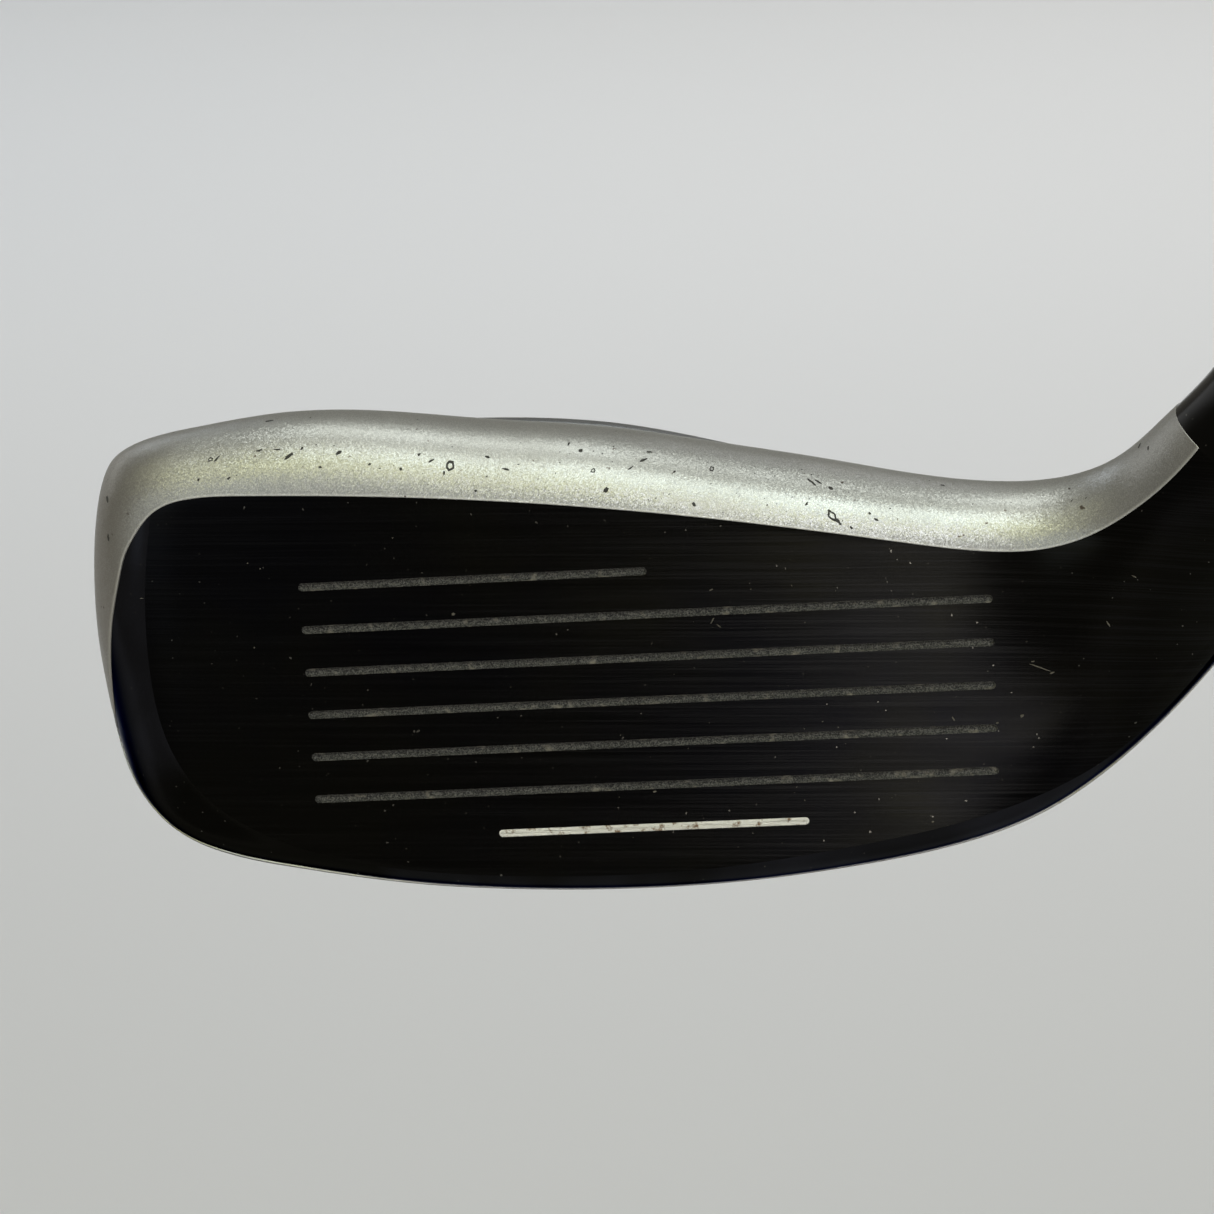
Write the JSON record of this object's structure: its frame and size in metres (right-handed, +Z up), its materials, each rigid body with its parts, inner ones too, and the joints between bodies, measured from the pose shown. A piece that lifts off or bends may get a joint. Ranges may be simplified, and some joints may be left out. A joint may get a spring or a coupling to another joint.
{
  "type": "hybrid golf club",
  "caption": "Right-handed hybrid golf club: hollow steel head with a scored flat face and painted crown, bonded tapered shaft, ferrule and rubber grip.",
  "frame": {"origin": "on the shaft axis at the middle of the grip, where the hands hold the club", "axes": "club in its address pose: +X from toe to heel, +Y from the face to the back, +Z up from the ground under the sole; the shaft leans 59.5 degrees from the ground towards +X"},
  "size_m": [0.6019, 0.0624, 0.8814],
  "materials": {
    "head_black": "gloss black coating on cast steel",
    "face_black": "black brushed steel with blasted score lines",
    "crown_silver": "satin silver metallic flake paint, chipped",
    "panel_grey": "satin grey metallic flake paint",
    "line_paint": "cream-white matt line paint with dirt",
    "weight_metal": "sintered heavy metal",
    "hot_melt": "amber glue",
    "ferrule_plastic": "polished black plastic",
    "epoxy": "cured grey epoxy",
    "plug_plastic": "white plastic",
    "graphite": "lacquered black graphite",
    "tape": "tan adhesive tape",
    "grip_rubber": "matt black textured rubber",
    "cap_rubber": "smooth black rubber"
  },
  "bodies": {
    "root": {"head_body": "head_black", "face_plate": "face_black", "crown_shell": "crown_silver", "crown_panel": "panel_grey", "score_line_fill": "line_paint", "rear_weight": "weight_metal", "hot_melt_pad": "hot_melt", "ferrule": "ferrule_plastic", "hosel_bond": "epoxy", "tip_plug": "plug_plastic", "shaft": "graphite", "grip_tape": "tape", "grip": "grip_rubber", "grip_cap": "cap_rubber"}
  },
  "joints": []
}
